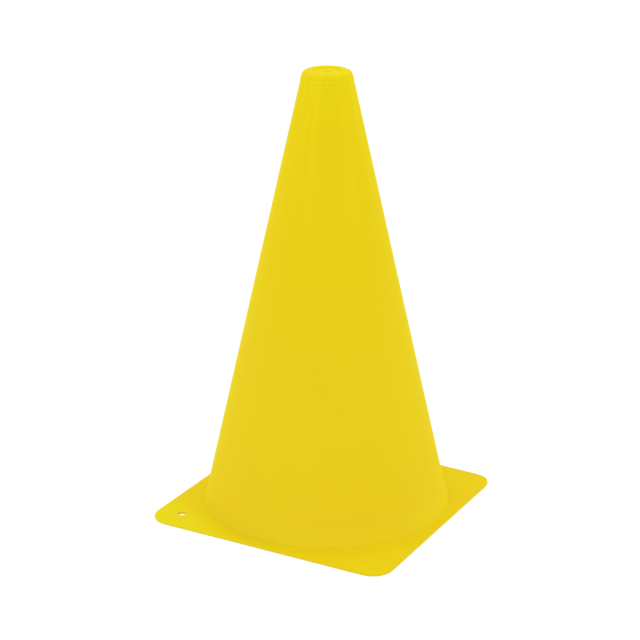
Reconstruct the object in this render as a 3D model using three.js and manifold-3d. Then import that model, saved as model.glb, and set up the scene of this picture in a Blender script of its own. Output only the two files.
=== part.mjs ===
// Small traffic cone, moulded in one piece from soft yellow polyethylene: a hollow cone, closed at
// the top and open below, whose wall runs out at its foot into a thin square plate.
// Millimetres, +Z up. The origin is on the floor, under the middle of the cone.
import * as THREE from "three";
import { mergeVertices } from "three/addons/utils/BufferGeometryUtils.js";
import Module from "manifold-3d";

// Plate
const plateSide = 136.5;
const plateThickness = 1.2;
const plateCornerRadius = 11;
const plateEdgeRounding = 0.35;

// Cone
const coneHeight = 230; // from the floor to the rim of the top face
const footLand = 4.5; // strip of plate left between the cone's foot and the middle of each side
const topRadius = 12.1; // where the cone's slope meets the level of the top face
const wallThickness = 1.2; // measured square to the slope
const footFillet = 0.8; // hollow rounding outside, between the plate and the cone

// Closed top
const topThickness = 1.4; // under the floor of the recess
const topEdgeRounding = 2.6;
const hollowTopRounding = 2;
const topRimWidth = 2.7; // flat rim between the rounded edge and the recess
const recessDepth = 0.5;
const recessWallRun = 0.5; // how far the recess narrows from its mouth to its floor
const gateMarkRadius = 1.4; // stub left where the plastic entered the mould
const gateMarkHeight = 0.35;

// Moulded lines round the neck, in order down from the rounded edge of the top: a shallow groove, a
// plain strip and a raised ring
const neckGrooveHeight = 0.6;
const neckGrooveDepth = 0.1;
const neckStripHeight = 0.4;
const neckRingHeight = 1.9;
const neckRingRelief = 0.25;

// Hanging hole, in one corner of the plate
const holeDiameter = 4;
const holeInset = 13.2; // from the hole's middle to each of the two nearest sides

// How far a cutting solid runs past the face that it cuts
const cutOverrun = 2;

// Facets
const roundFacets = 72;
const cornerFacets = 8;
const edgeFacets = 3;
const footArcSteps = 5;
const topArcSteps = 5;
const neckLineSteps = 4;
const holeFacets = 20;

const wasm = await Module();
wasm.setup();

// A closed geometry as a solid that can be joined and cut.
function solidOf(geometry) {
  const bare = geometry.clone();
  bare.deleteAttribute("normal");
  bare.deleteAttribute("uv");
  const merged = mergeVertices(bare);
  return new wasm.Manifold(
    new wasm.Mesh({
      numProp: 3,
      vertProperties: merged.attributes.position.array,
      triVerts: new Uint32Array(merged.index.array),
    }),
  );
}

// A solid as a geometry that a mesh can show.
function geometryOf(solid) {
  const { vertProperties, triVerts } = solid.getMesh();
  const geometry = new THREE.BufferGeometry();
  geometry.setAttribute("position", new THREE.BufferAttribute(vertProperties, 3));
  geometry.setIndex(new THREE.BufferAttribute(triVerts, 1));
  geometry.computeVertexNormals();
  return geometry;
}

// The solid that a profile of (radius, height) points sweeps round the Z axis, its lowest point first.
function turnedSolid(profile) {
  return solidOf(new THREE.LatheGeometry(profile, roundFacets).rotateX(Math.PI / 2));
}

// Points of an arc in the (radius, height) plane, both ends included.
function arcPoints(middle, radius, startAngle, endAngle, steps) {
  return Array.from({ length: steps + 1 }, (_, i) => {
    const angle = THREE.MathUtils.lerp(startAngle, endAngle, i / steps);
    return new THREE.Vector2(
      middle.x + radius * Math.cos(angle),
      middle.y + radius * Math.sin(angle),
    );
  });
}

// The cone's slope: how much the radius shrinks for each millimetre of height.
const footRadius = plateSide / 2 - footLand;
const taper = (footRadius - topRadius) / (coneHeight - plateThickness);
const slant = Math.hypot(1, taper);
const slopeNormalAngle = Math.atan2(taper, 1);

// The plate's softened edge takes at most a third of its thickness from each face.
const edgeRounding = Math.min(plateEdgeRounding, plateThickness / 3);

// The rounding at the foot ends on the land. Inside the mouth, the rounding ends at the same radius.
const footRounding = Math.min(footFillet, (footLand - edgeRounding) / (slant - taper));
const mouthRounding =
  footRounding + (wallThickness * slant - plateThickness * taper) / (slant - taper);

// Radius at a height of the slope that lies a depth inside the wall's outer face.
function wallRadius(height, depth) {
  return footRadius - taper * (height - plateThickness) - depth * slant;
}

// Arc at the foot that leads from a level face into the slope, on the outside of the wall.
function footArc(level, radius, depth) {
  const middleHeight = level + radius;
  const middle = new THREE.Vector2(wallRadius(middleHeight, depth - radius), middleHeight);
  return arcPoints(middle, radius, -Math.PI / 2, slopeNormalAngle - Math.PI, footArcSteps);
}

// Arc at the top that leads from the slope into a level face.
function topArc(level, radius, depth) {
  const middleHeight = level - radius;
  const middle = new THREE.Vector2(wallRadius(middleHeight, depth + radius), middleHeight);
  return arcPoints(middle, radius, slopeNormalAngle, Math.PI / 2, topArcSteps);
}

// One moulded line round the neck: a soft wave out of the slope, or into it where relief is negative.
function neckLine(lowHeight, lineHeight, relief) {
  return Array.from({ length: neckLineSteps + 1 }, (_, i) => {
    const across = i / neckLineSteps;
    const height = lowHeight + lineHeight * across;
    const wave = Math.sin(Math.PI * across) ** 2;
    return new THREE.Vector2(wallRadius(height, -relief * wave), height);
  });
}

// The cone filled in, with its recessed top. It starts inside the plate's thickness.
function coneProfile() {
  const foot = footArc(plateThickness, footRounding, 0);
  const topEdge = topArc(coneHeight, topEdgeRounding, 0);
  const grooveLow = topEdge[0].y - neckGrooveHeight;
  const ringLow = grooveLow - neckStripHeight - neckRingHeight;
  const recessRadius = topEdge.at(-1).x - topRimWidth;
  const recessFloor = coneHeight - recessDepth;
  return [
    new THREE.Vector2(0, plateThickness / 2),
    new THREE.Vector2(foot[0].x, plateThickness / 2),
    ...foot,
    ...neckLine(ringLow, neckRingHeight, neckRingRelief),
    ...neckLine(grooveLow, neckGrooveHeight, -neckGrooveDepth),
    ...topEdge.slice(1),
    new THREE.Vector2(recessRadius, coneHeight),
    new THREE.Vector2(recessRadius - recessWallRun, recessFloor),
    new THREE.Vector2(gateMarkRadius, recessFloor),
    new THREE.Vector2(gateMarkRadius, recessFloor + gateMarkHeight),
    new THREE.Vector2(0, recessFloor + gateMarkHeight),
  ];
}

// The hollow under the cone, open below, so that cones stack.
function hollowProfile() {
  const mouth = footArc(0, mouthRounding, wallThickness);
  const ceiling = coneHeight - recessDepth - topThickness;
  return [
    new THREE.Vector2(0, -cutOverrun),
    new THREE.Vector2(mouth[0].x, -cutOverrun),
    ...mouth,
    ...topArc(ceiling, hollowTopRounding, wallThickness),
    new THREE.Vector2(0, ceiling),
  ];
}

// The square plate, with round corners and softened edges.
function plateSolid() {
  const reach = plateSide / 2 - plateCornerRadius;
  const outline = new THREE.Shape();
  outline.absarc(reach, reach, plateCornerRadius, 0, Math.PI / 2);
  outline.absarc(-reach, reach, plateCornerRadius, Math.PI / 2, Math.PI);
  outline.absarc(-reach, -reach, plateCornerRadius, Math.PI, (Math.PI * 3) / 2);
  outline.absarc(reach, -reach, plateCornerRadius, (Math.PI * 3) / 2, Math.PI * 2);
  const slab = new THREE.ExtrudeGeometry(outline, {
    depth: plateThickness - 2 * edgeRounding,
    curveSegments: cornerFacets,
    bevelThickness: edgeRounding,
    bevelSize: edgeRounding,
    bevelOffset: -edgeRounding,
    bevelSegments: edgeFacets,
  });
  return solidOf(slab.translate(0, 0, edgeRounding));
}

// The cutter of the hanging hole.
function holeCutter() {
  const place = plateSide / 2 - holeInset;
  const pin = new THREE.CylinderGeometry(
    holeDiameter / 2,
    holeDiameter / 2,
    plateThickness + 2 * cutOverrun,
    holeFacets,
  );
  return solidOf(pin.rotateX(Math.PI / 2).translate(-place, -place, plateThickness / 2));
}

// Soft, slightly glossy yellow polyethylene
const yellowPolyethylene = new THREE.MeshStandardMaterial({
  color: 0xe9cf1a,
  roughness: 0.42,
  metalness: 0,
});

const shell = plateSolid()
  .add(turnedSolid(coneProfile()))
  .subtract(turnedSolid(hollowProfile()))
  .subtract(holeCutter());
const mouldedCone = new THREE.Mesh(geometryOf(shell), yellowPolyethylene);
mouldedCone.name = "moulded_cone";

const trafficCone = new THREE.Group();
trafficCone.add(mouldedCone);

export default trafficCone;
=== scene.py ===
import math

import bmesh
import bpy
from mathutils import Matrix, Vector


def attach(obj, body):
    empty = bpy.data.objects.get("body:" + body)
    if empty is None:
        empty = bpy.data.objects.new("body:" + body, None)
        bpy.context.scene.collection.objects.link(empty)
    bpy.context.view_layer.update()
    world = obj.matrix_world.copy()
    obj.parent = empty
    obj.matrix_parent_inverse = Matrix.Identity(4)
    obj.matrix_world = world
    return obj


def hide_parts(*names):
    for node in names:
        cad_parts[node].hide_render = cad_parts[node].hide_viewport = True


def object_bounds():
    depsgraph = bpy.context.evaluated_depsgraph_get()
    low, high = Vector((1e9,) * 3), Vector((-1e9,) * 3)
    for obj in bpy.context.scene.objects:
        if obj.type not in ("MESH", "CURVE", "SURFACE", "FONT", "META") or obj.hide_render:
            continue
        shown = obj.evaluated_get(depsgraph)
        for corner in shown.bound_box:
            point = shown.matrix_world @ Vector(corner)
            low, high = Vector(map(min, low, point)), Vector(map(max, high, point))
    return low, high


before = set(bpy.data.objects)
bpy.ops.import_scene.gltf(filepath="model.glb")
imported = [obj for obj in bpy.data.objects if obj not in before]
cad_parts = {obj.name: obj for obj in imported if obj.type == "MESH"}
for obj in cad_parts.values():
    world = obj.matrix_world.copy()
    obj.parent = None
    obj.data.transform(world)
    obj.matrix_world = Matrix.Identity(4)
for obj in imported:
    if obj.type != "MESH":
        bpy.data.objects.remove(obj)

cadLow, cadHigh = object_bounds()
plateSide = cadHigh.x - cadLow.x
coneHeight = cadHigh.z - cadLow.z
print("frame loaded, plate side", round(plateSide, 4), "height", round(coneHeight, 4))


# Small helpers

def deselectAll():
    bpy.ops.object.select_all(action="DESELECT")


def pickOnly(piece):
    deselectAll()
    bpy.context.view_layer.objects.active = piece
    piece.select_set(True)


def applyModifier(piece, name):
    pickOnly(piece)
    bpy.ops.object.modifier_apply(modifier=name)


def selectEdges(piece, test):
    # edit mode: selects the edges whose two ends pass the test
    bpy.ops.mesh.select_mode(type="EDGE")
    bpy.ops.mesh.select_all(action="DESELECT")
    cage = bmesh.from_edit_mesh(piece.data)
    for edge in cage.edges:
        edge.select_set(test(edge.verts[0].co, edge.verts[1].co))
    bmesh.update_edit_mesh(piece.data)


# The cone, in metres

cone = {
    "wall": 0.0012,             # plate and wall are equally thick
    "topWall": 0.0014,          # under the recess
    "plateCorner": 0.011,
    "plateEdge": 0.0004,        # rounding of the plate's rim
    "footLand": 0.0045,         # plate left outside the foot, at the middle of a side
    "footRounding": 0.0008,
    "topRadius": 0.0121,        # where the slope meets the level of the top
    "topRounding": 0.0026,
    "hollowTopRounding": 0.002,
    # recess of the top face, with the mark of the gate in its middle
    "topRim": 0.0027,
    "recessDepth": 0.0005,
    "recessRun": 0.0005,
    "recessSoftness": 0.00022,
    "gateRadius": 0.0014,
    "gateHeight": 0.00035,
    "gateSoftness": 0.00012,
    # moulded lines round the neck, from the top down
    "grooveHeight": 0.0006,
    "grooveDepth": 0.0001,
    "stripHeight": 0.0004,
    "ringHeight": 0.0019,
    "ringRelief": 0.00025,
    # hanging hole
    "holeDiameter": 0.004,
    "holeInset": 0.0132,        # from its middle to the two nearest sides
    "holeEdge": 0.0001,
    "punchLength": 0.0048,      # reaches past both faces of the plate
    # how the plate's edge at +Y is trimmed
    "trimPull": 0.0026,         # how far it lies inside the square one, in its middle
    "trimSkew": 0.0390,         # its slope, nearer to the foot towards +X
    # how fine the mesh is
    "cornerSteps": 12, "sideSteps": 30, "plateRings": 6, "edgeSteps": 4,
    "wallRings": 34, "arcSteps": 8, "lineSteps": 8, "holeSteps": 40, "holeEdgeSteps": 3,
    "weld": 0.000001, "slack": 0.00001,     # points this near are one, or lie on a line
}

footRadius = plateSide / 2 - cone["footLand"]
taper = (footRadius - cone["topRadius"]) / (coneHeight - cone["wall"])
slant = math.hypot(1, taper)
slopeNormal = math.atan2(taper, 1)


def wallRadius(height, depth):
    # radius of the slope at a height, some depth inside its outer face
    return footRadius - taper * (height - cone["wall"]) - depth * slant


def arc(middle, radius, start, end, steps):
    points = []
    for i in range(steps + 1):
        angle = start + (end - start) * i / steps
        points.append((middle[0] + radius * math.cos(angle), middle[1] + radius * math.sin(angle)))
    return points


def footArc(level, radius, depth):
    # leads from a level face into the slope
    middle = (wallRadius(level + radius, depth - radius), level + radius)
    return arc(middle, radius, -math.pi / 2, slopeNormal - math.pi, cone["arcSteps"])


def topArc(level, radius, depth):
    # leads from the slope into a level face
    middle = (wallRadius(level - radius, depth + radius), level - radius)
    return arc(middle, radius, slopeNormal, math.pi / 2, cone["arcSteps"])


def neckLine(low, height, relief):
    # a soft wave out of the slope, or into it where relief is negative
    points = []
    for i in range(cone["lineSteps"] + 1):
        across = i / cone["lineSteps"]
        wave = math.sin(math.pi * across) ** 2
        points.append((wallRadius(low + height * across, -relief * wave), low + height * across))
    return points


def wallRun(low, high, depth):
    # evenly spaced rings between two heights, both left out
    count = cone["wallRings"]
    heights = [low + (high - low) * i / count for i in range(1, count)]
    return [(wallRadius(height, depth), height) for height in heights]


def softStep(start, end, softness):
    # an S-shaped step between two levels, with one more point on each level beyond its bend
    points = []
    for i in range(cone["lineSteps"] + 1):
        across = i / cone["lineSteps"]
        smooth = across * across * (3 - 2 * across)
        points.append((start[0] + (end[0] - start[0]) * across, start[1] + (end[1] - start[1]) * smooth))
    first = (start[0] + math.copysign(softness, start[0] - end[0]), start[1])
    last = (end[0] + math.copysign(softness, end[0] - start[0]), end[1])
    return [first] + points + [last]


def outerProfile():
    foot = footArc(cone["wall"], cone["footRounding"], 0)
    top = topArc(coneHeight, cone["topRounding"], 0)
    grooveLow = top[0][1] - cone["grooveHeight"]
    ringLow = grooveLow - cone["stripHeight"] - cone["ringHeight"]
    recess = top[-1][0] - cone["topRim"]
    floor = coneHeight - cone["recessDepth"]
    gateTop = floor + cone["gateHeight"]
    return (
        foot
        + wallRun(foot[-1][1], ringLow, 0)
        + neckLine(ringLow, cone["ringHeight"], cone["ringRelief"])
        + neckLine(grooveLow, cone["grooveHeight"], -cone["grooveDepth"])
        + top[1:]
        + softStep((recess, coneHeight), (recess - cone["recessRun"], floor), cone["recessSoftness"])
        + softStep(
            (cone["gateRadius"] + cone["gateSoftness"], floor),
            (cone["gateRadius"] - cone["gateSoftness"], gateTop),
            cone["gateSoftness"],
        )
    )


def innerProfile():
    # ends with one more ring, halfway across the ceiling
    mouth = footArc(0, cone["footRounding"] + cone["wall"], cone["wall"])
    ceiling = coneHeight - cone["recessDepth"] - cone["topWall"]
    top = topArc(ceiling, cone["hollowTopRounding"], cone["wall"])
    return mouth + wallRun(mouth[-1][1], top[0][1], cone["wall"]) + top + [(top[-1][0] / 2, ceiling)]


def raiseRings(profile):
    # the selected ring lies on the profile's first point and is drawn out through the rest to a closed pole
    for (oldRadius, oldHeight), (radius, height) in zip(profile, profile[1:]):
        bpy.ops.mesh.extrude_region_move(TRANSFORM_OT_translate={"value": (0, 0, height - oldHeight)})
        grow = radius / oldRadius
        bpy.ops.transform.resize(value=(grow, grow, 1), center_override=(0, 0, height))
    bpy.ops.mesh.extrude_region_move(TRANSFORM_OT_translate={"value": (0, 0, 0)})
    bpy.ops.mesh.merge(type="CENTER")


def roundOff(piece, radius):
    # draws the selected outline in to a circle of that radius, each point straight towards the axis
    bpy.ops.mesh.extrude_region_move(TRANSFORM_OT_translate={"value": (0, 0, 0)})
    bpy.ops.transform.tosphere(value=1)
    cage = bmesh.from_edit_mesh(piece.data)
    now = next(v.co.xy.length for v in cage.verts if v.select)
    bpy.ops.transform.resize(value=(radius / now, radius / now, 1), center_override=(0, 0, 0))


def isOutline(point):
    # on one of the plate's straight sides or round corners
    half = plateSide / 2
    reach = half - cone["plateCorner"]
    x, y = abs(point.x), abs(point.y)
    if x > reach and y > reach:
        return math.hypot(x - reach, y - reach) > cone["plateCorner"] - cone["plateEdge"] / 2
    return max(x, y) > half - cone["slack"]


def modelCone():
    deselectAll()
    bpy.ops.mesh.primitive_plane_add(size=plateSide, location=(0, 0, 0))
    piece = bpy.context.object
    piece.name = piece.data.name = "yellowCone"

    # outline of the plate: a square with round corners and divided sides
    bpy.ops.object.mode_set(mode="EDIT")
    bpy.ops.mesh.select_mode(type="VERT")
    bpy.ops.mesh.select_all(action="SELECT")
    bpy.ops.mesh.bevel(offset=cone["plateCorner"], segments=cone["cornerSteps"], affect="VERTICES")
    bpy.ops.mesh.select_all(action="SELECT")
    bpy.ops.mesh.delete(type="ONLY_FACE")
    selectEdges(piece, lambda a, b: (a - b).length > plateSide / 2)
    bpy.ops.mesh.subdivide(number_cuts=cone["sideSteps"] - 1)
    print("outline of the plate drawn")

    # underside and hollow
    inner, outer = innerProfile(), outerProfile()
    selectEdges(piece, lambda a, b: True)
    roundOff(piece, inner[0][0])
    raiseRings(inner)

    # rim, upper face and wall
    selectEdges(piece, lambda a, b: isOutline(a) and isOutline(b))
    bpy.ops.mesh.extrude_region_move(TRANSFORM_OT_translate={"value": (0, 0, cone["wall"])})
    roundOff(piece, outer[0][0])
    raiseRings(outer)
    print("wall drawn up")

    # rings round the plate's two faces, so that its rear edge can be trimmed
    selectEdges(piece, lambda a, b: isOutline(a) != isOutline(b))
    bpy.ops.mesh.subdivide(number_cuts=cone["plateRings"])
    bpy.ops.mesh.select_all(action="SELECT")
    bpy.ops.mesh.remove_doubles(threshold=cone["weld"])
    bpy.ops.mesh.normals_make_consistent(inside=False)

    # rounded rim
    selectEdges(piece, lambda a, b: isOutline(a) and isOutline(b) and abs(a.z - b.z) < cone["wall"] / 2)
    bpy.ops.mesh.bevel(offset=cone["plateEdge"], segments=cone["edgeSteps"], affect="EDGES")
    bpy.ops.object.mode_set(mode="OBJECT")
    return piece


def punchHole(piece):
    deselectAll()
    place = plateSide / 2 - cone["holeInset"]
    bpy.ops.mesh.primitive_cylinder_add(
        vertices=cone["holeSteps"], radius=cone["holeDiameter"] / 2, depth=cone["punchLength"],
        location=(-place, -place, cone["wall"] / 2),
    )
    punch = bpy.context.object
    hole = piece.modifiers.new("hole", "BOOLEAN")
    hole.operation = "DIFFERENCE"
    hole.object = punch
    applyModifier(piece, "hole")
    bpy.data.objects.remove(punch)

    def onRim(point):
        offRim = (point.xy - Vector((-place, -place))).length - cone["holeDiameter"] / 2
        return abs(offRim) < cone["slack"]

    bpy.ops.object.mode_set(mode="EDIT")
    selectEdges(piece, lambda a, b: onRim(a) and onRim(b) and abs(a.z - b.z) < cone["wall"] / 2)
    bpy.ops.mesh.bevel(offset=cone["holeEdge"], segments=cone["holeEdgeSteps"], affect="EDGES")
    bpy.ops.object.mode_set(mode="OBJECT")
    print("hanging hole punched")


def trimPlate(piece):
    # the plate's edge at +Y is cut a little nearer and out of square: the plate outside the foot follows it
    half = plateSide / 2
    foot = wallRadius(cone["wall"] + cone["footRounding"], -cone["footRounding"])
    for vertex in piece.data.vertices:
        point = vertex.co
        radius = point.xy.length
        if point.z > cone["wall"] + cone["slack"] or point.y <= 0 or radius <= foot:
            continue
        edge = half * radius / max(abs(point.x), point.y)
        share = min(1, (radius - foot) / (edge - foot))
        pull = cone["trimPull"] + cone["trimSkew"] * point.x
        point.y *= 1 - share * max(0, pull) / half
    print("plate trimmed")


def finishShading(piece):
    pickOnly(piece)
    bpy.ops.object.shade_smooth()
    piece.modifiers.new("evenNormals", "WEIGHTED_NORMAL")
    applyModifier(piece, "evenNormals")


# Material

plastic = {
    # colour by height as a share of the cone's: the plastic's yellow, with painted light over it, a touch
    # greener towards the top and warmer low down
    "tints": (
        (0.006, (0.810, 0.626, 0.0092, 1)),     # plate
        # painted light: the foot stop is lighter, lifting the shade that the plate throws on it
        (0.014, (0.850, 0.656, 0.0180, 1)),     # foot, which the plate shades
        (0.060, (0.818, 0.602, 0.0135, 1)),
        (0.420, (0.814, 0.612, 0.0112, 1)),
        (0.580, (0.812, 0.618, 0.0082, 1)),
        (0.850, (0.824, 0.632, 0.0080, 1)),
        # painted light: the top face is lighter and greener, lit from above
        (0.990, (0.828, 0.660, 0.0070, 1)),     # top face
    ),
    "specular": 0.02,
    "sheen": 0.6, "sheenRoughness": 0.3, "sheenTint": (0.84, 0.95, 0.01, 1),    # the haze of the surface
    # clouds in the colour, a few centimetres across
    "cloudCount": 28, "cloudDepth": 0.014,
    "cloudDetail": 2,       # of their noise, and of the gloss spots' too
    # streaks that run down from the gate, and the shares of the height over which they grow
    "flowCount": 3.2, "flowDetail": 3, "flowStretch": 2.5, "flowDepth": 0.090,
    "flowStart": 0.50, "flowFull": 0.97, "flowLeast": 0.12,
    # painted shade: a soft dark line in the crease at the foot, which comes and goes
    "creaseRadius": 0.0632, "creaseWidth": 0.0022, "creaseShadeDepth": 0.080,
    "creaseBreaks": 14, "creaseLow": 0.35, "creaseHigh": 0.65, "creaseLeast": 0.6,
    # the painted shade is heaviest on one side, between the hanging hole and -Y, and faint elsewhere
    "holeSide": (-0.45, -0.89, 0), "creaseFar": 0.72, "creaseNear": 0.97, "creaseFaint": 0.06,
    # painted light: the plate is greener on that side, up to these shares of the height
    "plateTop": 0.006, "plateFade": 0.012, "plateLightGreen": 0.10,
    "greenStart": 0.060, "greenFull": 0.078,        # metres from the axis, towards that side
    # least and most roughness, over fine spots mixed with the streaks
    "roughness": (0.60, 0.72),
    "glossSpots": 380, "glossStreaks": 0.4, "glossLow": 0.3, "glossHigh": 0.7,
    # relief, in metres
    "peel": 620, "peelHeight": 0.000022,            # orange peel, about 1.6 mm across
    "grain": 3600, "grainHeight": 0.000003,         # about 0.3 mm across
    "turning": 260, "turningHeight": 0.0000016,     # lathe lines of the mould, about 1.2 mm apart
    "turningWobble": 0.6,
    "fineDetail": 1,        # of the noise in the relief and in the dark line
    "noiseMiddle": 0.5,     # noise runs from 0 to 1
}


def makePolyethylene():
    material = bpy.data.materials.new("yellowPolyethylene")
    material.use_nodes = True
    nodes, links = material.node_tree.nodes, material.node_tree.links
    shader = nodes["Principled BSDF"]
    shader.inputs["Specular IOR Level"].default_value = plastic["specular"]
    shader.inputs["Sheen Weight"].default_value = plastic["sheen"]
    shader.inputs["Sheen Roughness"].default_value = plastic["sheenRoughness"]
    shader.inputs["Sheen Tint"].default_value = plastic["sheenTint"]
    place = nodes.new("ShaderNodeTexCoord").outputs["Object"]
    split = nodes.new("ShaderNodeSeparateXYZ")
    links.new(place, split.inputs[0])

    def calculate(operation, first, second=None):
        node = nodes.new("ShaderNodeMath")
        node.operation = operation
        for socket, value in zip(node.inputs, (first, second)):
            if isinstance(value, bpy.types.NodeSocket):
                links.new(value, socket)
            elif value is not None:
                socket.default_value = value
        return node.outputs[0]

    def spread(value, low, high, newLow, newHigh, smooth=False):
        node = nodes.new("ShaderNodeMapRange")
        node.interpolation_type = "SMOOTHSTEP" if smooth else "LINEAR"
        links.new(value, node.inputs["Value"])
        for name, number in zip(("From Min", "From Max", "To Min", "To Max"), (low, high, newLow, newHigh)):
            node.inputs[name].default_value = number
        return node.outputs[0]

    def noise(scale, detail, vector=None):
        node = nodes.new("ShaderNodeTexNoise")
        node.inputs["Scale"].default_value = scale
        node.inputs["Detail"].default_value = detail
        links.new(vector or place, node.inputs["Vector"])
        return node.outputs["Fac"]

    def fromMiddle(value):
        # noise that lightens as much as it darkens, by half a unit at most
        return calculate("SUBTRACT", value, plastic["noiseMiddle"])

    # colour by height
    height = calculate("DIVIDE", split.outputs["Z"], coneHeight)
    tint = nodes.new("ShaderNodeValToRGB")
    links.new(height, tint.inputs[0])
    stops = tint.color_ramp.elements
    stops.remove(stops[-1])
    stops[0].position, stops[0].color = plastic["tints"][0]
    for position, colour in plastic["tints"][1:]:
        stops.new(position).color = colour

    # direction round the axis, for the streaks that run down from the gate
    flat = nodes.new("ShaderNodeCombineXYZ")
    links.new(split.outputs["X"], flat.inputs["X"])
    links.new(split.outputs["Y"], flat.inputs["Y"])
    around = nodes.new("ShaderNodeVectorMath")
    around.operation = "NORMALIZE"
    links.new(flat.outputs[0], around.inputs[0])
    drop = nodes.new("ShaderNodeCombineXYZ")
    links.new(calculate("MULTIPLY", split.outputs["Z"], plastic["flowStretch"]), drop.inputs["Z"])
    flowPlace = nodes.new("ShaderNodeVectorMath")
    links.new(around.outputs[0], flowPlace.inputs[0])
    links.new(drop.outputs[0], flowPlace.inputs[1])
    flow = noise(plastic["flowCount"], plastic["flowDetail"], flowPlace.outputs[0])
    nearGate = spread(
        height, plastic["flowStart"], plastic["flowFull"], plastic["flowLeast"], 1,
        smooth=True,
    )
    flowShade = calculate("MULTIPLY", fromMiddle(flow), nearGate)
    flowShade = calculate("MULTIPLY", flowShade, 2 * plastic["flowDepth"])

    # clouds
    clouds = noise(plastic["cloudCount"], plastic["cloudDetail"])
    cloudShade = calculate("MULTIPLY", fromMiddle(clouds), 2 * plastic["cloudDepth"])

    # painted shade: a soft dark line in the rounding at the foot
    length = nodes.new("ShaderNodeVectorMath")
    length.operation = "LENGTH"
    links.new(flat.outputs[0], length.inputs[0])
    offLine = calculate("ABSOLUTE", calculate("SUBTRACT", length.outputs["Value"], plastic["creaseRadius"]))
    onLine = spread(offLine, 0, plastic["creaseWidth"], 1, 0, smooth=True)
    breaks = noise(plastic["creaseBreaks"], plastic["fineDetail"])
    uneven = spread(breaks, plastic["creaseLow"], plastic["creaseHigh"], plastic["creaseLeast"], 1)
    towards = nodes.new("ShaderNodeVectorMath")
    towards.operation = "DOT_PRODUCT"
    links.new(around.outputs[0], towards.inputs[0])
    towards.inputs[1].default_value = plastic["holeSide"]
    heavy = spread(
        towards.outputs["Value"], plastic["creaseFar"], plastic["creaseNear"], plastic["creaseFaint"], 1,
        smooth=True,
    )
    paintedCreaseShade = calculate("MULTIPLY", calculate("MULTIPLY", onLine, uneven), heavy)
    paintedCreaseShade = calculate("MULTIPLY", paintedCreaseShade, -plastic["creaseShadeDepth"])

    # painted light: the plate a touch greener on the hole's side, where more light falls
    onPlate = spread(height, plastic["plateTop"], plastic["plateFade"], 1, 0)
    reach = calculate("MULTIPLY", towards.outputs["Value"], length.outputs["Value"])
    nearHole = spread(
        reach, plastic["greenStart"], plastic["greenFull"], 0, plastic["plateLightGreen"],
        smooth=True,
    )
    greener = calculate("MULTIPLY", onPlate, nearHole)

    # all the shades together, over the tint
    shade = calculate("ADD", calculate("ADD", flowShade, cloudShade), calculate("ADD", paintedCreaseShade, 1))
    shades = nodes.new("ShaderNodeCombineColor")
    links.new(shade, shades.inputs["Red"])
    links.new(calculate("ADD", shade, greener), shades.inputs["Green"])
    links.new(shade, shades.inputs["Blue"])
    colour = nodes.new("ShaderNodeMix")
    colour.data_type = "RGBA"
    colour.blend_type = "MULTIPLY"
    colour.inputs["Factor"].default_value = 1
    links.new(tint.outputs["Color"], colour.inputs["A"])
    links.new(shades.outputs[0], colour.inputs["B"])
    links.new(colour.outputs["Result"], shader.inputs["Base Color"])

    # gloss: finely spotted, with the lighter streaks a little duller
    spots = noise(plastic["glossSpots"], plastic["cloudDetail"])
    dull = calculate(
        "ADD",
        calculate("MULTIPLY", spots, 1 - plastic["glossStreaks"]),
        calculate("MULTIPLY", flow, plastic["glossStreaks"]),
    )
    roughness = spread(dull, plastic["glossLow"], plastic["glossHigh"], *plastic["roughness"])
    links.new(roughness, shader.inputs["Roughness"])

    # relief: orange peel, fine grain and the mould's turning lines
    peel = calculate("MULTIPLY", noise(plastic["peel"], plastic["fineDetail"]), plastic["peelHeight"])
    grain = calculate("MULTIPLY", noise(plastic["grain"], plastic["fineDetail"]), plastic["grainHeight"])
    rings = nodes.new("ShaderNodeTexWave")
    rings.bands_direction = "Z"
    rings.inputs["Scale"].default_value = plastic["turning"]
    rings.inputs["Distortion"].default_value = plastic["turningWobble"]
    links.new(place, rings.inputs["Vector"])
    turning = calculate("MULTIPLY", rings.outputs["Fac"], plastic["turningHeight"])
    relief = calculate("ADD", calculate("ADD", peel, grain), turning)
    bump = nodes.new("ShaderNodeBump")
    bump.inputs["Distance"].default_value = 1
    bump.inputs["Strength"].default_value = 1
    links.new(relief, bump.inputs["Height"])
    links.new(bump.outputs["Normal"], shader.inputs["Normal"])
    return material


# Camera, light and floor

# angles in degrees, places in metres, lens and sensor in millimetres, shift as a share of the sensor
photoView = {
    "azimuth": 28.671, "elevation": 20.413, "roll": 0.114, "distance": 1.00236,
    "lookAt": (0, 0, 0.10007), "lens": 110.453, "sensor": 36, "shiftX": -0.01041,
}


def makeCamera():
    azimuth, elevation = math.radians(photoView["azimuth"]), math.radians(photoView["elevation"])
    back = Vector((
        math.sin(azimuth) * math.cos(elevation),
        -math.cos(azimuth) * math.cos(elevation),
        math.sin(elevation),
    ))
    bpy.ops.object.camera_add()
    camera = bpy.context.object
    camera.name = "photoCamera"
    camera.data.lens = photoView["lens"]
    camera.data.sensor_width = photoView["sensor"]
    camera.data.shift_x = photoView["shiftX"]
    turn = (-back).to_track_quat("-Z", "Y").to_matrix().to_4x4()
    roll = Matrix.Rotation(math.radians(photoView["roll"]), 4, "Z")
    place = Vector(photoView["lookAt"]) + back * photoView["distance"]
    camera.matrix_world = Matrix.Translation(place) @ turn @ roll
    bpy.context.scene.camera = camera


def lookMask(nodes, links):
    # 1 for rays that show the background: from the camera, in gloss and through clear things
    path = nodes.new("ShaderNodeLightPath")
    first = nodes.new("ShaderNodeMath")
    first.operation = "ADD"
    links.new(path.outputs["Is Camera Ray"], first.inputs[0])
    links.new(path.outputs["Is Glossy Ray"], first.inputs[1])
    both = nodes.new("ShaderNodeMath")
    both.operation = "ADD"
    both.use_clamp = True
    links.new(first.outputs[0], both.inputs[0])
    links.new(path.outputs["Is Transmission Ray"], both.inputs[1])
    return both.outputs[0]


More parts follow.
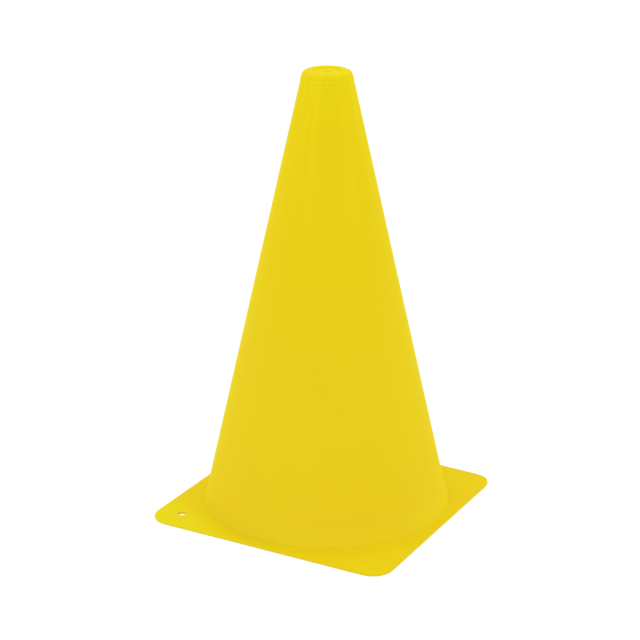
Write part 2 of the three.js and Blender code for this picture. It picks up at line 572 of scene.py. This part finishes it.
lighting = {
    "world": 1.05,
    "worldShown": 1,                        # strength of the background that the camera sees
    "worldColour": (1, 1, 1, 1),
    # a soft box on either side, sideTurn degrees round from the camera, and one overhead
    "sideTurn": 120, "sideSize": 0.3, "sidePower": 0.35, "sideDistance": 0.8, "sideHeight": 0.08,
    "topSize": 1.2, "topPower": 0.3, "topHeight": 1.2,
    "floorSide": 8.0,
    "floorColour": (0.85, 0.85, 0.85, 1),   # for the light that it throws back
    "floorShown": (0.25, 0.25, 0.25, 1),    # as the camera sees it, under the glow
    "floorGlow": 0.8,
}


def makeWorld():
    world = bpy.data.worlds.new("paleRoom")
    bpy.context.scene.world = world
    world.use_nodes = True
    nodes, links = world.node_tree.nodes, world.node_tree.links
    nodes.clear()
    light = nodes.new("ShaderNodeBackground")
    light.inputs["Strength"].default_value = lighting["world"]
    light.inputs["Color"].default_value = lighting["worldColour"]
    white = nodes.new("ShaderNodeBackground")
    white.inputs["Strength"].default_value = lighting["worldShown"]
    white.inputs["Color"].default_value = lighting["worldColour"]
    mix = nodes.new("ShaderNodeMixShader")
    out = nodes.new("ShaderNodeOutputWorld")
    links.new(lookMask(nodes, links), mix.inputs["Fac"])
    links.new(light.outputs[0], mix.inputs[1])
    links.new(white.outputs[0], mix.inputs[2])
    links.new(mix.outputs[0], out.inputs["Surface"])


def makeFloor():
    deselectAll()
    bpy.ops.mesh.primitive_plane_add(size=lighting["floorSide"], location=(0, 0, 0))
    floor = bpy.context.object
    floor.name = "paleFloor"
    material = bpy.data.materials.new("paleFloor")
    material.use_nodes = True
    nodes, links = material.node_tree.nodes, material.node_tree.links
    nodes.clear()
    matt = nodes.new("ShaderNodeBsdfDiffuse")
    matt.inputs["Color"].default_value = lighting["floorColour"]
    shown = nodes.new("ShaderNodeBsdfDiffuse")
    shown.inputs["Color"].default_value = lighting["floorShown"]
    mask = lookMask(nodes, links)
    mix = nodes.new("ShaderNodeMixShader")
    links.new(mask, mix.inputs["Fac"])
    links.new(matt.outputs[0], mix.inputs[1])
    links.new(shown.outputs[0], mix.inputs[2])
    glow = nodes.new("ShaderNodeEmission")
    strength = nodes.new("ShaderNodeMath")
    strength.operation = "MULTIPLY"
    strength.inputs[1].default_value = lighting["floorGlow"]
    links.new(mask, strength.inputs[0])
    links.new(strength.outputs[0], glow.inputs["Strength"])
    both = nodes.new("ShaderNodeAddShader")
    out = nodes.new("ShaderNodeOutputMaterial")
    links.new(mix.outputs[0], both.inputs[0])
    links.new(glow.outputs[0], both.inputs[1])
    links.new(both.outputs[0], out.inputs["Surface"])
    floor.data.materials.append(material)


def addSoftbox(name, place, size, power):
    # aimed at the middle of the cone
    bpy.ops.object.light_add(type="AREA", location=place)
    lamp = bpy.context.object
    lamp.name = name
    lamp.data.shape = "SQUARE"
    lamp.data.size = size
    lamp.data.energy = power
    aim = Vector((0, 0, coneHeight / 2)) - Vector(place)
    lamp.rotation_euler = aim.to_track_quat("-Z", "Y").to_euler()


def makeLights():
    deselectAll()
    for name, turn in (("leftSoftbox", -lighting["sideTurn"]), ("rightSoftbox", lighting["sideTurn"])):
        angle = math.radians(photoView["azimuth"] + turn)
        place = (
            math.sin(angle) * lighting["sideDistance"],
            -math.cos(angle) * lighting["sideDistance"],
            lighting["sideHeight"],
        )
        addSoftbox(name, place, lighting["sideSize"], lighting["sidePower"])
    addSoftbox("topSoftbox", (0, 0, lighting["topHeight"]), lighting["topSize"], lighting["topPower"])


makeCamera()
makeWorld()
makeFloor()
makeLights()
print("camera, light and floor ready")

yellowCone = modelCone()
punchHole(yellowCone)
trimPlate(yellowCone)
finishShading(yellowCone)
yellowCone.data.materials.append(makePolyethylene())
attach(yellowCone, "root")
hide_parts("moulded_cone")
print("cone finished,", len(yellowCone.data.polygons), "faces")

bpy.context.scene.view_settings.view_transform = "Standard"
